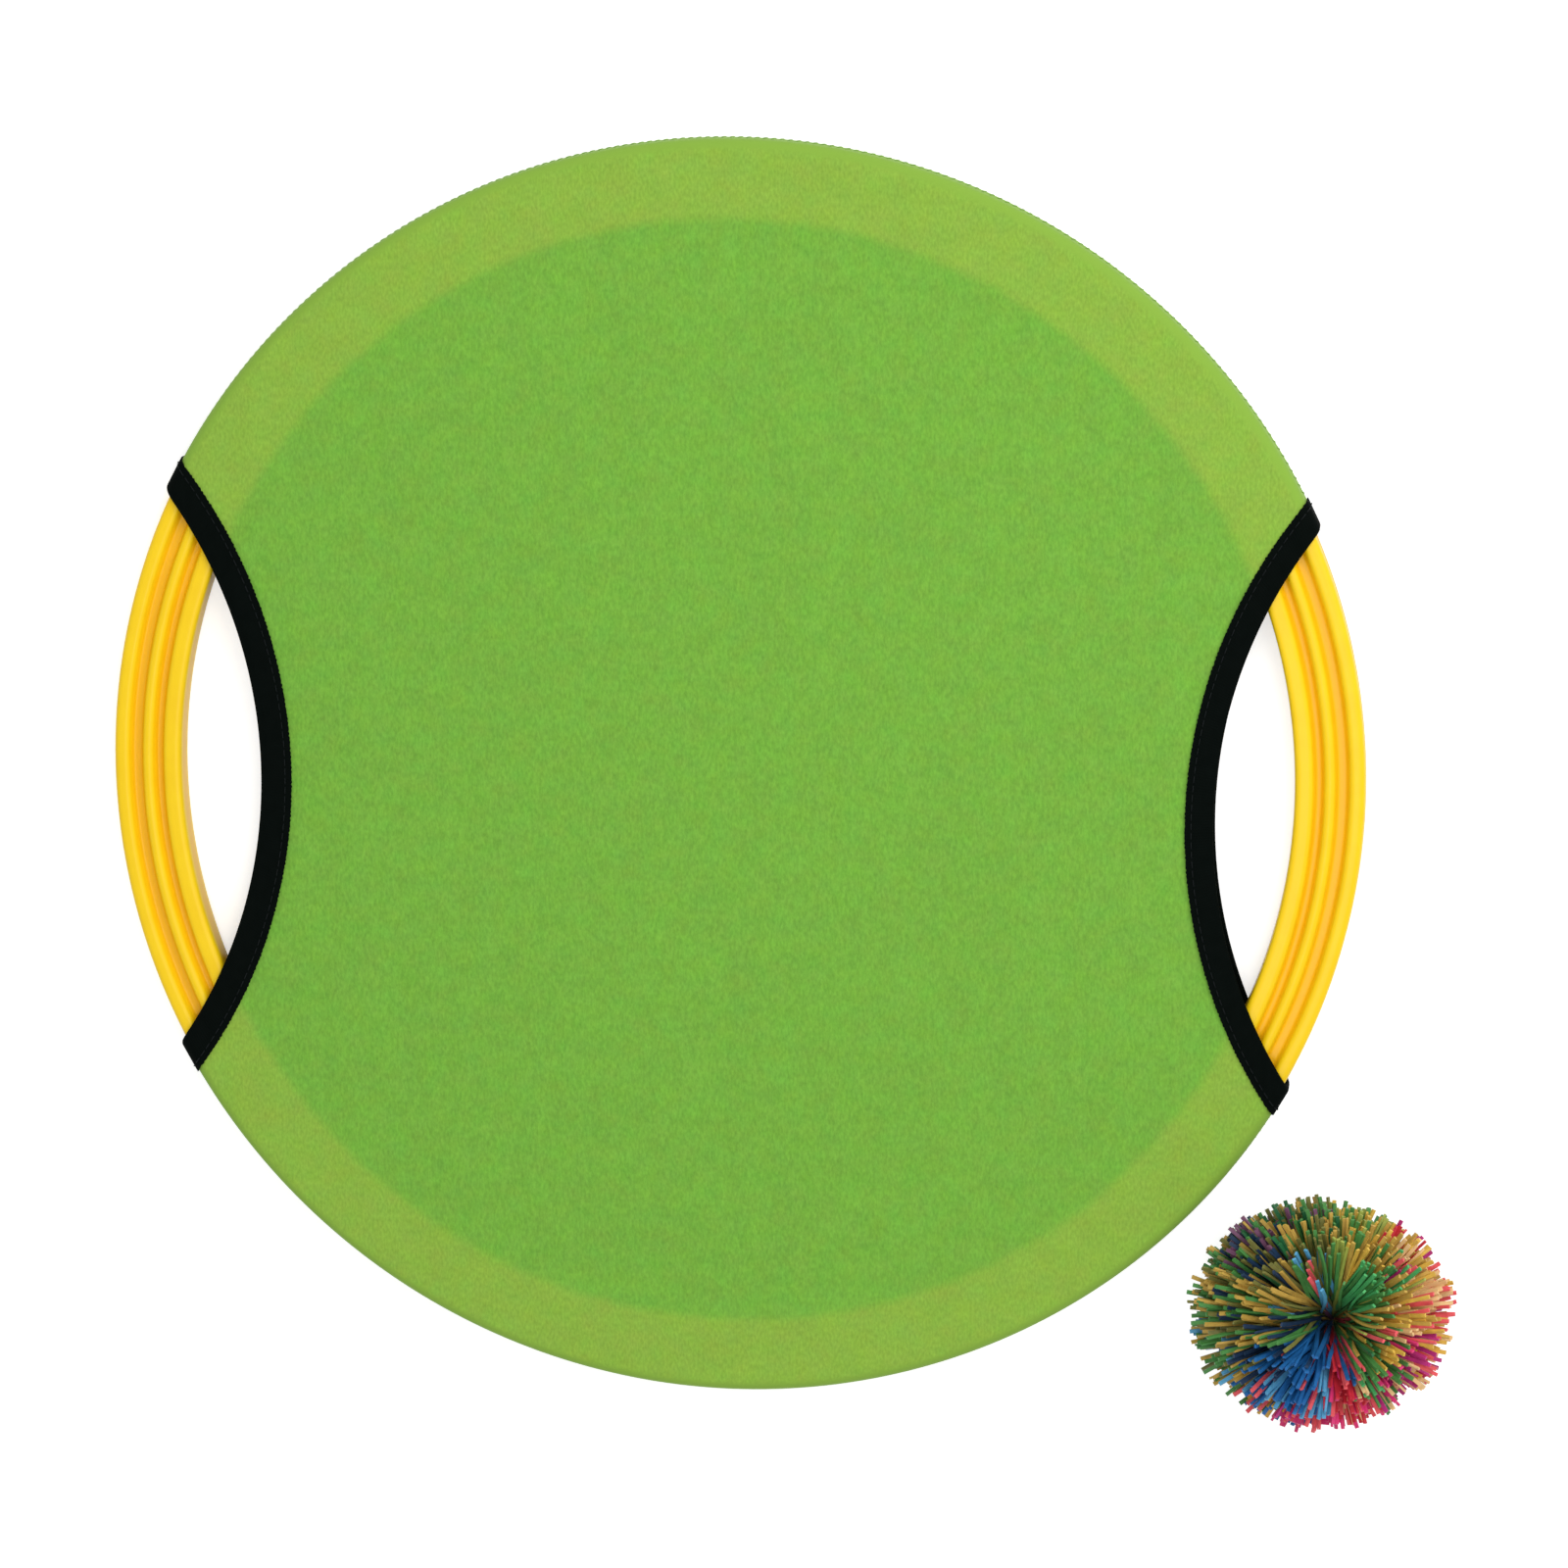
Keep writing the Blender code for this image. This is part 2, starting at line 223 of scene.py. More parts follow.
# Knit cover
# Two discs of nylon and elastane warp knit, pulled drum-tight over both faces of the hoop and
# sewn together round its rim. Each is cut away on two sides, so that the hoop is left bare there.
FRONT_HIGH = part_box("front_panel")[1]
KNIT_THICKNESS = 0.7 * MM
KNIT_LIFT = FRONT_HIGH.z - MIDDLE_HEIGHT - top
SEAM_GAP = 0.12 * MM
SEAM_LIP = 0.2 * MM
SEAM_LIP_HEIGHT = 1.3 * MM
DISH_DEPTH = 0.35 * MM
DISH_SLOPE = 5.0 * MM
HOLD_BEARINGS = {"left": math.radians(180.4), "right": math.radians(-1.9)}
HOLD_GAPS = {"left": 26.7 * MM, "right": 24.8 * MM}
HOLD_RADIUS = 154.5 * MM
FOLD_DEPTH = 0.7 * MM
hold_centres = {side: inner_side - gap + HOLD_RADIUS for side, gap in HOLD_GAPS.items()}
CENTRE_RINGS = 30
BAND_RINGS = 24
KNIT_STEPS = 320
CUTTER_DEPTH = 4 * HOOP_THICKNESS
WALE = 0.78 * MM
COURSE = 1.7 * MM
LOOP_HEIGHT = 0.12 * MM
PATCH_SIZE = 7 * MM
PATCH_SHARE = 0.2
BACKED_FROM = 174.8 * MM
BACKED_TO = 179.4 * MM
PULLED_FROM = 197.6 * MM
PULLED_TO = 199.8 * MM


def smooth(share):
    """Return an S curve from 0 to 1."""
    share = min(max(share, 0.0), 1.0)
    return share * share * (3 - 2 * share)


def cover_line(lift):
    """Return the front cover's line at a height off the hoop, from near the axis to the seam."""
    line = []
    flat_end = HOOP_RADIUS - OUTER_EDGE
    rings = [inner_side * i / CENTRE_RINGS for i in range(CENTRE_RINGS)]
    rings += [inner_side + (flat_end - inner_side) * i / BAND_RINGS for i in range(BAND_RINGS)]
    for radius in rings:
        dish = DISH_DEPTH * smooth((inner_side - radius) / DISH_SLOPE)
        line.append((radius, top + lift - dish))
    for step in range(EASE_STEPS + 1):
        angle = math.pi / 2 * (1 - step / EASE_STEPS)
        reach = OUTER_EDGE + lift
        line.append((flat_end + reach * math.cos(angle), top - OUTER_EDGE + reach * math.sin(angle)))
    side = HOOP_RADIUS + lift
    line += [(side, SEAM_LIP_HEIGHT), (side + SEAM_LIP, SEAM_LIP_HEIGHT / 2), (side + SEAM_LIP, SEAM_GAP)]
    return line


def hold_cutter(bearing, reach):
    """Return an upright cylinder as round as the edge of the cover at this hand hold."""
    shape = bmesh.new()
    centre = Matrix.Translation((reach * math.cos(bearing), reach * math.sin(bearing), MIDDLE_HEIGHT))
    bmesh.ops.create_cone(
        shape,
        cap_ends=True,
        segments=KNIT_STEPS,
        radius1=HOLD_RADIUS + FOLD_DEPTH,
        radius2=HOLD_RADIUS + FOLD_DEPTH,
        depth=CUTTER_DEPTH,
        matrix=centre,
    )
    mesh = bpy.data.meshes.new("hold_cutter")
    shape.to_mesh(mesh)
    shape.free()
    item = bpy.data.objects.new("hold_cutter", mesh)
    bpy.context.scene.collection.objects.link(item)
    return item


def cut_away(item, cutters):
    """Cut the cutters out of the piece."""
    for cutter in cutters:
        cut = item.modifiers.new("Cut", "BOOLEAN")
        cut.object = cutter
    shown = item.evaluated_get(bpy.context.evaluated_depsgraph_get())
    mesh = bpy.data.meshes.new_from_object(shown)
    item.modifiers.clear()
    item.data = mesh


# Warp knit, dull and slightly hairy: upright wales with lighter and darker loops, drawn coarser
# than real ones, which are too fine to show. Over the hoop the yellow plastic shows through it,
# and round the rim the loops are pulled so flat that they run together.
warp_knit, tree, shader = finish(
    "nylon_warp_knit",
    Roughness=0.8,
    IOR=1.45,
    Specular_IOR_Level=0.25,
    Sheen_Weight=0.15,
    Sheen_Roughness=0.4,
)
place = add(tree, "ShaderNodeTexCoord", {})
spot = add(tree, "ShaderNodeSeparateXYZ", {0: place.outputs["Object"]})
flat_place = add(tree, "ShaderNodeCombineXYZ", {"X": spot.outputs["X"], "Y": spot.outputs["Y"]})
off_axis = add(tree, "ShaderNodeVectorMath", {0: flat_place.outputs[0]}, operation="LENGTH")
over_hoop = add(
    tree,
    "ShaderNodeMapRange",
    {"Value": off_axis.outputs["Value"], "From Min": BACKED_FROM, "From Max": BACKED_TO},
    interpolation_type="SMOOTHSTEP",
)
round_rim = add(
    tree,
    "ShaderNodeMapRange",
    {"Value": off_axis.outputs["Value"], "From Min": PULLED_FROM, "From Max": PULLED_TO},
    interpolation_type="SMOOTHSTEP",
)
loops_place = add(
    tree,
    "ShaderNodeVectorMath",
    {0: place.outputs["Object"], 1: (1 / WALE, 1 / COURSE, 1 / WALE)},
    operation="MULTIPLY",
)
loops = add(tree, "ShaderNodeTexNoise", {"Vector": loops_place.outputs[0], "Scale": 1.0, "Detail": 2.0})
patches = add(
    tree,
    "ShaderNodeTexNoise",
    {"Vector": place.outputs["Object"], "Scale": 1 / PATCH_SIZE, "Detail": 3.0},
)
open_green = add(
    tree,
    "ShaderNodeMix",
    {0: loops.outputs["Fac"], 6: linear("#5F9030"), 7: linear("#84C244")},
    data_type="RGBA",
)
backed_green = add(
    tree,
    "ShaderNodeMix",
    {0: loops.outputs["Fac"], 6: linear("#759834"), 7: linear("#99C548")},
    data_type="RGBA",
)
green = add(
    tree,
    "ShaderNodeMix",
    {0: over_hoop.outputs["Result"], 6: open_green.outputs[2], 7: backed_green.outputs[2]},
    data_type="RGBA",
)
patched = add(
    tree,
    "ShaderNodeMix",
    {0: PATCH_SHARE, 6: green.outputs[2], 7: patches.outputs["Color"]},
    data_type="RGBA",
    blend_type="SOFT_LIGHT",
)
rim_green = add(
    tree,
    "ShaderNodeMix",
    {0: round_rim.outputs["Result"], 6: patched.outputs[2], 7: linear("#86AE3E")},
    data_type="RGBA",
)
relief = add(
    tree, "ShaderNodeBump", {"Height": loops.outputs["Fac"], "Strength": 0.35, "Distance": LOOP_HEIGHT}
)
tree.links.new(rim_green.outputs[2], shader.inputs["Base Color"])
tree.links.new(relief.outputs["Normal"], shader.inputs["Normal"])

hold_cutters = [hold_cutter(bearing, hold_centres[side]) for side, bearing in HOLD_BEARINGS.items()]
front_section = cover_line(KNIT_LIFT) + list(reversed(cover_line(KNIT_LIFT - KNIT_THICKNESS)))
back_section = [(radius, -height) for radius, height in front_section]
for name, node, section in (
    ("front_knit", "front_panel", front_section),
    ("back_knit", "back_panel", back_section),
):
    points, faces = turned(section, KNIT_STEPS, MIDDLE_HEIGHT)
    panel = piece(name, points, faces, [warp_knit])
    cut_away(panel, hold_cutters)
    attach(panel, "root")
    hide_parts(node)
for cutter in hold_cutters:
    bpy.data.objects.remove(cutter, do_unlink=True)

# Rim seam
# The two discs meet at the middle of the rim in a narrow lip. A green polyester thread is whipped
# over it in slanting stitches, all along the rim from one hand hold to the other.
SEAM_PITCH = 2.6 * MM
SEAM_SLANT = 0.7 * MM
SEAM_REACH = 2.0 * MM
SEAM_STITCH_BOW = 4
THREAD_RADIUS = 0.17 * MM
THREAD_SIDES = 6
THREAD_RISE = 0.4
THREAD_TWIST = 0.5 * MM
STITCH_STEPS = 6
TAPE_WIDTHS = {"left": 10.1 * MM, "right": 8.9 * MM}


def sweep(line, section, facing):
    """Return the points and faces of a closed bar: a section carried along a line of points."""
    points = []
    faces = []
    count = len(section)
    for index, place in enumerate(line):
        ahead = line[min(index + 1, len(line) - 1)] - line[max(index - 1, 0)]
        across = ahead.cross(facing).normalized()
        upward = across.cross(ahead).normalized()
        points += [place + across * a + upward * b for a, b in section]
    for ring in range(len(line) - 1):
        start = ring * count
        for i in range(count):
            j = (i + 1) % count
            faces.append((start + i, start + j, start + count + j, start + count + i))
    faces.append(tuple(reversed(range(count))))
    faces.append(tuple(range(len(points) - count, len(points))))
    return points, faces


def joined(bars):
    """Return the points and faces of several bars as one list each."""
    points = []
    faces = []
    for bar_points, bar_faces in bars:
        shift = len(points)
        points += bar_points
        faces += [tuple(corner + shift for corner in face) for face in bar_faces]
    return points, faces


def round_section(radius, sides):
    """Return a round section's points."""
    turns = [math.tau * side / sides for side in range(sides)]
    return [(radius * math.cos(turn), radius * math.sin(turn)) for turn in turns]


def mouth_angle(rim_radius, hold_radius, hold_centre):
    """Return how far from the hold's bearing a circle round the hold meets a circle round the axis."""
    cosine = (rim_radius**2 + hold_centre**2 - hold_radius**2) / (2 * rim_radius * hold_centre)
    return math.acos(cosine)


# Spun polyester thread, a shade darker than the knit
green_thread, tree, shader = finish("green_polyester_thread", Roughness=0.6, Specular_IOR_Level=0.3)
place = add(tree, "ShaderNodeTexCoord", {})
twist = add(tree, "ShaderNodeTexNoise", {"Vector": place.outputs["Object"], "Scale": 1 / THREAD_TWIST})
thread_shade = add(
    tree,
    "ShaderNodeMix",
    {0: twist.outputs["Fac"], 6: linear("#6C9636"), 7: linear("#80A840")},
    data_type="RGBA",
)
tree.links.new(thread_shade.outputs[2], shader.inputs["Base Color"])

rim_radius = HOOP_RADIUS + KNIT_LIFT + SEAM_LIP
clear_angles = {
    side: mouth_angle(rim_radius, HOLD_RADIUS + TAPE_WIDTHS[side], centre) + SEAM_PITCH / rim_radius
    for side, centre in hold_centres.items()
}
stitches = []
for start, end in (("right", "left"), ("left", "right")):
    first = HOLD_BEARINGS[start] + clear_angles[start]
    last = HOLD_BEARINGS[end] + (math.tau if end == "right" else 0.0) - clear_angles[end]
    count = int((last - first) * rim_radius / SEAM_PITCH)
    for index in range(count + 1):
        line = []
        for step in range(STITCH_STEPS + 1):
            share = 2 * step / STITCH_STEPS - 1
            angle = first + (last - first) * index / count + share * SEAM_SLANT / rim_radius
            reach = rim_radius + THREAD_RADIUS * THREAD_RISE
            reach -= (SEAM_LIP + THREAD_RADIUS) * share**SEAM_STITCH_BOW
            height = MIDDLE_HEIGHT + share * SEAM_REACH
            line.append(Vector((reach * math.cos(angle), reach * math.sin(angle), height)))
        facing = Vector((line[0].x, line[0].y, 0.0)).normalized()
        stitches.append(sweep(line, round_section(THREAD_RADIUS, THREAD_SIDES), facing))
seam_points, seam_faces = joined(stitches)
seam = piece("rim_seam_thread", seam_points, seam_faces, [green_thread])
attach(seam, "root")

# Bound mouths
# Black polyester tape, folded lengthwise over the raw edge of the knit. It is one closed loop at
# each hand hold: across the front, over the rim, across the back and over the rim again.
TAPE_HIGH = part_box("right_binding")[1]
TAPE_THICKNESS = 0.45 * MM
TAPE_LIFT = TAPE_HIGH.z - MIDDLE_HEIGHT - top
TAPE_UNDER = 0.25 * MM
FOLD_STEPS = 6
ARC_STEPS = 300
CORNER_STEPS = 8
WALL_STEPS = 8
PICOT_PITCH = 1.5 * MM
PICOT_DEPTH = 0.14 * MM
EDGE_WANDER = 0.16 * MM
TAPE_CREASE = 50.0
TAPE_RIB = 0.9 * MM
TAPE_RIB_HEIGHT = 0.12 * MM
WEAR_SIZE = 4 * MM
SEED = 5
STITCH_LINE = 2.0 * MM
STITCH_PITCH = 3.0 * MM
STITCH_LENGTH = 2.3 * MM
STITCH_RISE = 1.2
STITCH_DIP = 2.6
STITCH_BOW = 4
BLACK_TWIST = 0.4 * MM
BLACK_TWIST_HEIGHT = 0.05 * MM


def mouth_point(leg, share, spread, lift, hold_centre):
    """Return a point of a mouth that faces +X, at a share of one leg of its loop.

    The legs are the front, the rim on the left, the back and the rim on the right as the mouth
    is seen from outside. The spread is measured from the fold and the lift from the hoop.
    """
    reach = HOLD_RADIUS + spread
    flat_end = HOOP_RADIUS - OUTER_EDGE
    face = 1 if leg < 2 else -1
    if leg % 2 == 0:
        cosine = (hold_centre**2 + reach**2 - flat_end**2) / (2 * hold_centre * reach)
        angle = math.acos(cosine) * (2 * share - 1) * face
        height = top + lift
        return Vector((hold_centre - reach * math.cos(angle), reach * math.sin(angle), face * height))
    bend = OUTER_EDGE + lift
    wall = top - OUTER_EDGE
    corner_run = math.pi / 2 * bend
    run = share * (2 * corner_run + 2 * wall)
    if run < corner_run:
        radius = flat_end + bend * math.sin(run / bend)
        height = wall + bend * math.cos(run / bend)
    elif run < corner_run + 2 * wall:
        radius = flat_end + bend
        height = wall - (run - corner_run)
    else:
        turn = (run - corner_run - 2 * wall) / bend
        radius = flat_end + bend * math.cos(turn)
        height = -wall - bend * math.sin(turn)
    angle = mouth_angle(radius, reach, hold_centre) * face
    return Vector((radius * math.cos(angle), radius * math.sin(angle), face * height))


def placed(point, bearing):
    """Return a mouth's point turned to its bearing and raised to the hoop's middle."""
    return Matrix.Rotation(bearing, 3, "Z") @ point + Vector((0.0, 0.0, MIDDLE_HEIGHT))


# Woven polyester tape: matt black, with fine ribs across it that hardly catch the light
polyester_tape, tree, shader = finish("black_polyester_tape", Roughness=0.85, Specular_IOR_Level=0.02)
run_and_spread = add(tree, "ShaderNodeUVMap", {}, uv_map="UVMap")
ribs = add(
    tree,
    "ShaderNodeTexWave",
    {"Vector": run_and_spread.outputs["UV"], "Scale": 1 / (TAPE_RIB * math.pi), "Distortion": 0.3},
    bands_direction="X",
)
wear = add(
    tree,
    "ShaderNodeTexNoise",
    {"Vector": run_and_spread.outputs["UV"], "Scale": 1 / WEAR_SIZE, "Detail": 3.0},
)
black = add(
    tree,
    "ShaderNodeMix",
    {0: wear.outputs["Fac"], 6: linear("#050907"), 7: linear("#0A0F0D")},
    data_type="RGBA",
)
weave = add(
    tree,
    "ShaderNodeBump",
    {"Height": ribs.outputs["Fac"], "Strength": 0.5, "Distance": TAPE_RIB_HEIGHT},
)
tree.links.new(black.outputs[2], shader.inputs["Base Color"])
tree.links.new(weave.outputs["Normal"], shader.inputs["Normal"])

# Black sewing thread, slightly glossier than the tape
black_thread, tree, shader = finish(
    "black_polyester_thread", Base_Color=linear("#0C1112"), Roughness=0.6, Specular_IOR_Level=0.12
)
place = add(tree, "ShaderNodeTexCoord", {})
twist = add(tree, "ShaderNodeTexNoise", {"Vector": place.outputs["Object"], "Scale": 1 / BLACK_TWIST})
plies = add(
    tree,
    "ShaderNodeBump",
    {"Height": twist.outputs["Fac"], "Strength": 0.3, "Distance": BLACK_TWIST_HEIGHT},
)
tree.links.new(plies.outputs["Normal"], shader.inputs["Normal"])

fold = (TAPE_LIFT + TAPE_UNDER) / 2
outer_bend = (TAPE_LIFT - TAPE_UNDER) / 2
inner_bend = outer_bend - TAPE_THICKNESS
fold_turns = [math.pi / 2 * (1 + 2 * step / FOLD_STEPS) for step in range(FOLD_STEPS + 1)]


def tape_profile(width):
    """Return the section of a tape of this width, folded over: each point's spread and lift."""
    outside, inside = (
        [(outer_bend + bend * math.cos(turn), fold + bend * math.sin(turn)) for turn in fold_turns]
        for bend in (outer_bend, inner_bend)
    )
    front = [(width, TAPE_LIFT - TAPE_THICKNESS), (width, TAPE_LIFT)]
    back = [(width, TAPE_UNDER), (width, TAPE_UNDER + TAPE_THICKNESS)]
    return front + outside + back + inside[::-1]


leg_steps = [ARC_STEPS, 2 * CORNER_STEPS + WALL_STEPS] * 2
stations = [(leg, step / steps) for leg, steps in enumerate(leg_steps) for step in range(steps)]
chance = random.Random(SEED)
for side, bearing in HOLD_BEARINGS.items():
    hold_centre = hold_centres[side]
    tape_width = TAPE_WIDTHS[side]
    tape_section = tape_profile(tape_width)
    middle_line = [
        mouth_point(leg, share, tape_width / 2, TAPE_LIFT, hold_centre) for leg, share in stations
    ]
    runs = [0.0]
    for here, there in zip(middle_line, middle_line[1:] + middle_line[:1]):
        runs.append(runs[-1] + (there - here).length)
    points = []
    for index, (leg, share) in enumerate(stations):
        picot = PICOT_DEPTH * math.sin(math.tau * runs[index] / PICOT_PITCH)
        edge = picot + chance.uniform(-EDGE_WANDER, EDGE_WANDER) / 2
        for spread, lift in tape_section:
            wander = edge if spread == tape_width else 0.0
            points.append(placed(mouth_point(leg, share, spread + wander, lift, hold_centre), bearing))
    faces = []
    count = len(tape_section)
    for index in range(len(stations)):
        here, there = index * count, (index + 1) % len(stations) * count
        for i in range(count):
            j = (i + 1) % count
            faces.append((here + i, there + i, there + j, here + j))
    tape = piece(f"{side}_tape", points, faces, [polyester_tape], crease=TAPE_CREASE)
    layer = tape.data.uv_layers.new(name="UVMap")
    for face in tape.data.polygons:
        columns = [vertex // count for vertex in face.vertices]
        closes = max(columns) - min(columns) > 1
        for loop, vertex, column in zip(face.loop_indices, face.vertices, columns):
            run = runs[-1] if closes and column == 0 else runs[column]
            layer.data[loop].uv = (run, tape_section[vertex % count][0])
    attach(tape, "root")
    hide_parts(f"{side}_binding")

    bars = []
    stitch_spread = tape_width - STITCH_LINE
    for leg in range(len(leg_steps)):
        middle = [
            mouth_point(leg, i / ARC_STEPS, stitch_spread, TAPE_LIFT, hold_centre)
            for i in range(ARC_STEPS)
        ]
        length = sum((there - here).length for here, there in zip(middle, middle[1:]))
        count = round(length / STITCH_PITCH)
        for index in range(count):
            line = []
            for step in range(STITCH_STEPS + 1):
                along = step / STITCH_STEPS
                share = (index + 0.5 + (along - 0.5) * STITCH_LENGTH / STITCH_PITCH) / count
                rise = THREAD_RADIUS * (STITCH_RISE - STITCH_DIP * (2 * along - 1) ** STITCH_BOW)
                local = mouth_point(leg, share, stitch_spread, TAPE_LIFT + rise, hold_centre)
                spot = placed(local, bearing)
                spot.z = max(spot.z, THREAD_RADIUS)
                line.append(spot)
            under = mouth_point(leg, (index + 0.5) / count, stitch_spread, 0.0, hold_centre)
            facing = (line[STITCH_STEPS // 2] - placed(under, bearing)).normalized()
            bars.append(sweep(line, round_section(THREAD_RADIUS, THREAD_SIDES), facing))
    thread_points, thread_faces = joined(bars)
    thread = piece(f"{side}_tape_thread", thread_points, thread_faces, [black_thread])
    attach(thread, "root")

# String ball
# Some three and a half thousand strips of coloured latex rubber, cut from sheets in bunches of one
# colour and pulled tight through a cord ring, so that both ends spread into a ball. The ring sits
# a little off its middle, and the strips have parted on top, which leaves a dark hollow there.
TIE_LOW, TIE_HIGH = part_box("ball_tie")
TIE_CENTRE = (TIE_LOW + TIE_HIGH) / 2
TIE_RADIUS = (TIE_HIGH.x - TIE_LOW.x) / 2 - (TIE_HIGH.z - TIE_LOW.z) / 2
TIE_SHIFT = Vector((3.6, -1.7, 0.0)) * MM
CORD_RADIUS = 0.62 * MM
CORD_TURNS = 3
CORD_STEPS = 48
CORD_SIDES = 8
BALL_REACH = Vector((42.0, 36.8, 38.0)) * MM
STRIP_WIDTH = 1.2 * MM
STRIP_THICKNESS = 0.7 * MM
STRIP_STEPS = 6
STRIP_CREASE = 30.0
BUNCHES = 78
STRIPS_LOW = 1
STRIPS_HIGH = 3
BUNCH_TURN = math.radians(3.2)
LEANS = (math.radians(6), math.radians(97))
CROWN_AZIMUTH = math.radians(92)
CROWN_LEAN = math.radians(18)
ZONE_ANGLES = (math.radians(42), math.radians(66))
HOLLOW_ANGLE = math.radians(20)
HOLLOW_EDGE = math.radians(18)
SHORTEST_BUNCH = 0.88
LONGEST_BUNCH = 1.03
UNEVEN_CUT = 0.08
RAGGED_SIDE = 0.26
RAGGED_AZIMUTH = math.radians(-25)
STRAY_STRIPS = 2
WAIST = 5.0 * MM
WAIST_HEIGHT = 1.0 * MM
WAIST_SPREAD = 0.8
NECK_SHARE = 0.25
NECK = (0.0, 6.0 * MM)
TIP_SHARE = 0.4
DROOP = (math.radians(-4.0), math.radians(10.0))
SWAY = math.radians(9.0)
LEAST_SINE = 0.3
FLOOR_CLEARANCE = 0.05 * MM
DUST_SIZE = 3 * MM
DUST_LEVELS = (0.66, 1.34)
PAINTED_SHADE_CORE = 4 * MM
PAINTED_SHADE_REACH = 22 * MM
PAINTED_SHADE_LEVEL = 0.06
RUBBER = {
    "mustard": "#C4A04A",
    "yellow": "#DDB54C",
    "peach": "#ECC68C",
    "olive": "#76743A",
    "lime": "#A2AE50",
    "leaf_green": "#4A8844",
    "bright_green": "#4AA860",
    "dark_green": "#24643A",
    "sky_blue": "#58A2CC",
    "blue": "#1F66A6",
    "navy": "#1B3350",
    "plum": "#744A66",
    "magenta": "#B82C7A",
    "hot_pink": "#E03A7A",
    "coral": "#E85C62",
    "red": "#CC2C3C",
}
# Each sector of 30 degrees from +X towards +Y: its name, then the dyes of its bunches near the crown,
# half-way down and round the outside, where a dye named more often turns up more often
SECTORS = (
    (
        "peach",
        "yellow mustard lime leaf_green coral",
        "peach yellow coral mustard",
        "peach yellow peach coral",
    ),
    (
        "apricot",
        "bright_green leaf_green mustard",
        "yellow lime magenta mustard bright_green coral",
        "yellow peach mustard red",
    ),
    (
        "mustard",
        "leaf_green bright_green lime",
        "mustard leaf_green yellow lime",
        "mustard yellow lime leaf_green",
    ),
    (
        "leaf_green",
        "leaf_green mustard olive sky_blue leaf_green coral",
        "leaf_green mustard olive dark_green",
        "dark_green leaf_green olive plum",
    ),
    (
        "plum",
        "mustard olive navy dark_green coral leaf_green",
        "mustard navy olive plum leaf_green",
        "dark_green mustard plum navy olive",
    ),
    (
        "ochre",
        "mustard navy leaf_green navy",
        "olive mustard leaf_green navy",
        "mustard leaf_green olive",
    ),
    (
        "navy",
        "blue navy blue olive",
        "leaf_green blue olive mustard navy",
        "mustard leaf_green sky_blue olive",
    ),
    (
        "lime",
        "blue navy blue",
        "blue sky_blue blue navy coral",
        "mustard blue yellow coral leaf_green",
    ),
    (
        "blue",
        "blue blue navy",
        "blue hot_pink blue coral sky_blue",
        "hot_pink magenta coral blue",
    ),
    (
        "scarlet",
        "red coral red red blue",
        "coral red hot_pink red",
        "coral hot_pink peach red",
    ),
    (
        "rose",
        "dark_green leaf_green coral",
        "leaf_green hot_pink bright_green peach",
        "leaf_green magenta hot_pink peach",
    ),
    (
        "dark_green",
        "leaf_green mustard leaf_green dark_green yellow",
        "peach leaf_green hot_pink yellow",
        "peach magenta yellow coral",
    ),
)
# Bunches that have strayed: sector, dye, azimuth and lean in degrees, share of the full length
STRAYS = (
    (3, "sky_blue", 100, 36, 0.8),
    (3, "coral", 112, 38, 0.9),
    (5, "sky_blue", 156, 40, 0.75),
    (5, "coral", 174, 38, 0.7),
    (6, "coral", 196, 36, 0.7),
    (6, "leaf_green", 206, 34, 0.7),
)

# Latex rubber: soft dull gloss, dyed through, a little uneven in colour where it is dusty, and
# darkened by painted shade deep inside the ball, where the strips shade one another near the tie
latex = {}
for name, colour in RUBBER.items():
    latex[name], tree, shader = finish(
        f"{name}_latex_rubber", Roughness=0.5, IOR=1.52, Specular_IOR_Level=0.3
    )
    place = add(tree, "ShaderNodeTexCoord", {})
    dust = add(
        tree,
        "ShaderNodeTexNoise",
        {"Vector": place.outputs["Object"], "Scale": 1 / DUST_SIZE, "Detail": 2.0},
    )
    level = add(
        tree,
        "ShaderNodeMapRange",
        {"Value": dust.outputs["Fac"], "To Min": DUST_LEVELS[0], "To Max": DUST_LEVELS[1]},
    )
    # Painted shade: the strips' colour falls to a small share of itself towards the tie, where shade falls
    # deep inside the ball
    from_tie = add(
        tree, "ShaderNodeVectorMath", {0: place.outputs["Object"], 1: TIE_CENTRE}, operation="DISTANCE"
    )
    painted_shade = add(
        tree,
        "ShaderNodeMapRange",
        {
            "Value": from_tie.outputs["Value"],
            "From Min": PAINTED_SHADE_CORE,
            "From Max": PAINTED_SHADE_REACH,
            "To Min": PAINTED_SHADE_LEVEL,
        },
    )
    value = add(
        tree,
        "ShaderNodeMath",
        {0: level.outputs["Result"], 1: painted_shade.outputs["Result"]},
        operation="MULTIPLY",
    )
    tint = add(tree, "ShaderNodeHueSaturation", {"Color": linear(colour), "Value": value.outputs[0]})
    tree.links.new(tint.outputs["Color"], shader.inputs["Base Color"])

cord_line = []
for step in range(CORD_TURNS * CORD_STEPS + 1):
    turn = math.tau * CORD_TURNS * step / (CORD_TURNS * CORD_STEPS)
    climb = (turn / (math.tau * CORD_TURNS) - 0.5) * (CORD_TURNS - 1) * 2 * CORD_RADIUS
    spot = Vector((TIE_RADIUS * math.cos(turn), TIE_RADIUS * math.sin(turn), climb))
    cord_line.append(TIE_CENTRE + spot)
cord_section = round_section(CORD_RADIUS, CORD_SIDES)
tie_points, tie_faces = sweep(cord_line, cord_section, Vector((0.0, 0.0, 1.0)))
tie = piece("ball_tie_cord", tie_points, tie_faces, [black_thread])
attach(tie, "root")
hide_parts("ball_tie")


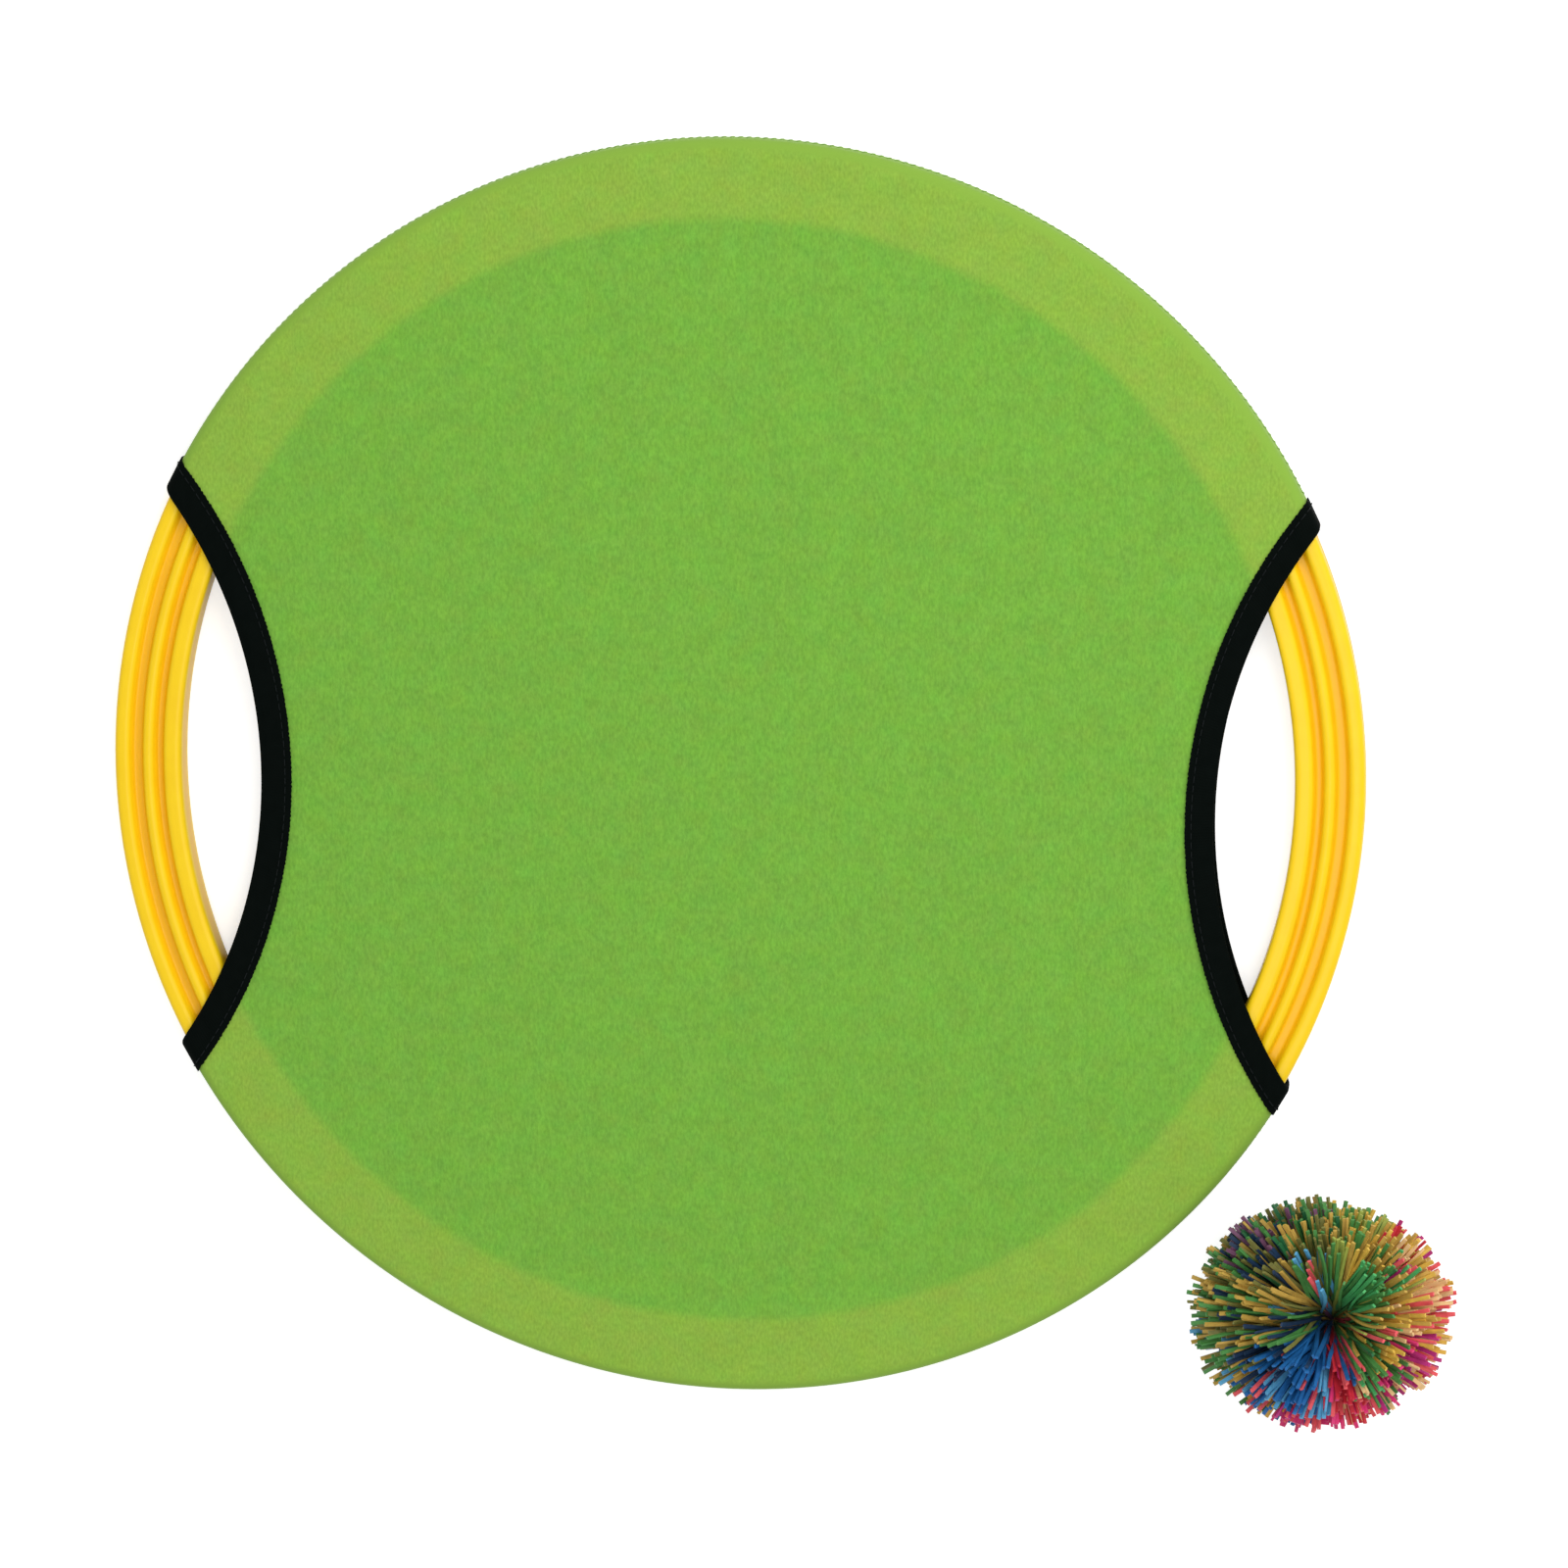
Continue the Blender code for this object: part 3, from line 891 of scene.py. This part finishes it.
def heading(azimuth, lean):
    """Return the direction at an azimuth from +X and a lean from +Z."""
    return Vector((math.sin(lean) * math.cos(azimuth), math.sin(lean) * math.sin(azimuth), math.cos(lean)))


def outline_reach(outward):
    """Return how far the ball's outline lies from its tie in this direction."""
    slope = Vector([outward[axis] / BALL_REACH[axis] for axis in range(3)])
    shift = Vector([-TIE_SHIFT[axis] / BALL_REACH[axis] for axis in range(3)])
    along = slope.dot(shift)
    inside = 1.0 - shift.length_squared
    return (along + math.sqrt(along**2 + slope.length_squared * inside)) / slope.length_squared


def strip_line(azimuth, lean, half, share, chance):
    """Return the line of one strip, from inside the tie out to its tip."""
    outward = heading(azimuth, lean)
    tip = outward * outline_reach(outward) * share
    waist_azimuth = azimuth + chance.uniform(-WAIST_SPREAD, WAIST_SPREAD)
    start = heading(waist_azimuth, math.pi / 2) * WAIST * math.sqrt(chance.random())
    start.z = WAIST_HEIGHT
    neck = start + outward * tip.length * NECK_SHARE + Vector((0.0, 0.0, chance.uniform(*NECK)))
    ending = heading(azimuth + chance.uniform(-SWAY, SWAY), lean + chance.uniform(*DROOP))
    bend = tip - ending * tip.length * TIP_SHARE
    line = []
    for step in range(STRIP_STEPS + 1):
        s = step / STRIP_STEPS
        spot = start * (1 - s) ** 3 + neck * 3 * s * (1 - s) ** 2
        spot = spot + bend * 3 * s * s * (1 - s) + tip * s**3
        spot.z *= half
        line.append(spot + TIE_CENTRE)
    return line


def is_parted(off_crown, chance):
    """Tell whether a bunch this far from the crown has fallen aside and left the hollow open."""
    return chance.random() > smooth((off_crown - HOLLOW_ANGLE) / HOLLOW_EDGE)


strip_section = [
    (a * STRIP_WIDTH / 2, b * STRIP_THICKNESS / 2) for a, b in ((-1, -1), (1, -1), (1, 1), (-1, 1))
]
sector_angle = math.tau / len(SECTORS)
crown = heading(CROWN_AZIMUTH, CROWN_LEAN)
for number, (node_name, *zone_names) in enumerate(SECTORS):
    bars = []
    indices = []
    zones = [names.split() for names in zone_names]
    bunches = []
    for half in (1, -1):
        for bunch in range(BUNCHES):
            azimuth = sector_angle * (number + chance.random())
            lean = math.acos(chance.uniform(math.cos(LEANS[1]), math.cos(LEANS[0])))
            off_crown = heading(azimuth, lean).angle(crown)
            zone = sum(off_crown > limit for limit in ZONE_ANGLES)
            shortest = SHORTEST_BUNCH - RAGGED_SIDE * max(math.cos(azimuth - RAGGED_AZIMUTH), 0.0)
            share = chance.uniform(shortest, LONGEST_BUNCH)
            if is_parted(off_crown, chance) and half == 1:
                continue
            colour = zones[zone][bunch % len(zones[zone])]
            bunches.append((colour, azimuth, lean, share, half, chance.randint(STRIPS_LOW, STRIPS_HIGH)))
    for sector, colour, azimuth, lean, share in STRAYS:
        if sector == number:
            bunches.append((colour, math.radians(azimuth), math.radians(lean), share, 1, STRAY_STRIPS))
    colours = sorted({bunch[0] for bunch in bunches})
    for colour, azimuth, lean, share, half, count in bunches:
        for _ in range(count):
            line = strip_line(
                azimuth + chance.gauss(0.0, BUNCH_TURN) / max(math.sin(lean), LEAST_SINE),
                lean + chance.gauss(0.0, BUNCH_TURN),
                half,
                share - chance.uniform(0.0, UNEVEN_CUT),
                chance,
            )
            facing = heading(chance.uniform(0.0, math.tau), chance.uniform(0.0, math.pi))
            bar_points, bar_faces = sweep(line, strip_section, facing)
            for point in bar_points:
                point.z = max(point.z, FLOOR_CLEARANCE)
            bars.append((bar_points, bar_faces))
            indices += [colours.index(colour)] * len(bar_faces)
    points, faces = joined(bars)
    node = f"strands_{number + 1:02d}_{node_name}"
    name = node.replace("strands", "strips")
    strips = piece(name, points, faces, [latex[dye] for dye in colours], indices, STRIP_CREASE)
    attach(strips, "root")
    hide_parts(node)

# Table top and light
# A matt white sheet lies under the toy, and shows as plain white but for the toy's shadow. A large
# soft lamp stands to the upper right and a small one overhead, and the white room fills in the rest.
SHEET_SIZE = 8.0
SHEET_DROP = 0.2 * MM
SHEET_GLOW = 0.5
ROOM_LEVEL = 0.54


def backdrop_rays(tree):
    """Return an output that is 1 for what the camera sees, straight or in metal and glass, else 0."""
    rays = add(tree, "ShaderNodeLightPath", {})
    seen = rays.outputs["Is Camera Ray"]
    for kind in ("Is Glossy Ray", "Is Transmission Ray"):
        either = add(tree, "ShaderNodeMath", {0: seen, 1: rays.outputs[kind]}, operation="MAXIMUM")
        seen = either.outputs[0]
    return seen


# Uncoated paper: matt and just short of white, with a glow seen only straight or in reflections
paper, tree, shader = finish(
    "white_paper", Base_Color=linear("#F4F4F4"), Roughness=0.9, Specular_IOR_Level=0.1
)
lift = add(tree, "ShaderNodeMath", {0: backdrop_rays(tree), 1: SHEET_GLOW}, operation="MULTIPLY")
shader.inputs["Emission Color"].default_value = (1.0, 1.0, 1.0, 1.0)
tree.links.new(lift.outputs[0], shader.inputs["Emission Strength"])
sheet_half = SHEET_SIZE / 2
corners = [
    (x * sheet_half, y * sheet_half, -SHEET_DROP) for x, y in ((-1, -1), (1, -1), (1, 1), (-1, 1))
]
sheet_mesh = bpy.data.meshes.new("table_top")
sheet_mesh.from_pydata(corners, [], [(0, 1, 2, 3)])
sheet_mesh.materials.append(paper)
table_top = bpy.data.objects.new("table_top", sheet_mesh)
bpy.context.scene.collection.objects.link(table_top)

world = bpy.data.worlds.new("white_room")
bpy.context.scene.world = world
world.use_nodes = True
tree = world.node_tree
room = tree.nodes["Background"]
level = add(
    tree, "ShaderNodeMapRange", {"Value": backdrop_rays(tree), "To Min": ROOM_LEVEL, "To Max": 1.0}
)
room.inputs["Color"].default_value = (1.0, 1.0, 1.0, 1.0)
tree.links.new(level.outputs["Result"], room.inputs["Strength"])

# Each lamp's name, place, width in metres and power in watts
LAMPS = (
    ("side_lamp", Vector((0.62, 0.70, 1.05)), 1.2, 12.0),
    ("top_lamp", Vector((0.16, -0.28, 1.45)), 0.45, 3.0),
)
for name, lamp_place, size, power in LAMPS:
    lamp_data = bpy.data.lights.new(name, "AREA")
    lamp_data.size = size
    lamp_data.energy = power
    lamp = bpy.data.objects.new(name, lamp_data)
    lamp.location = lamp_place
    lamp.rotation_euler = (-lamp_place).to_track_quat("-Z", "Y").to_euler()
    bpy.context.scene.collection.objects.link(lamp)

# Camera
# It looks down on the toy through a long lens, from nearly overhead and a little from its top and
# right. A small shift puts the toy where the photograph has it in the frame.
VIEW = Vector((0.1370, 0.1872, 0.9727)).normalized()
VIEW_DISTANCE = 1.6
LENS = 115.65
SENSOR_WIDTH = 36.0
SHIFT_X = 0.0335
SHIFT_Y = -0.0051
camera_data = bpy.data.cameras.new("camera")
camera_data.lens = LENS
camera_data.sensor_width = SENSOR_WIDTH
camera_data.shift_x = SHIFT_X
camera_data.shift_y = SHIFT_Y
camera = bpy.data.objects.new("camera", camera_data)
right = Vector((0.0, 1.0, 0.0)).cross(VIEW).normalized()
upward = VIEW.cross(right)
standpoint = Vector((0.0, 0.0, MIDDLE_HEIGHT)) + VIEW * VIEW_DISTANCE
orientation = Matrix((right, upward, VIEW)).transposed().to_4x4()
camera.matrix_world = Matrix.Translation(standpoint) @ orientation
bpy.context.scene.collection.objects.link(camera)
bpy.context.scene.camera = camera
bpy.context.scene.view_settings.view_transform = "Standard"
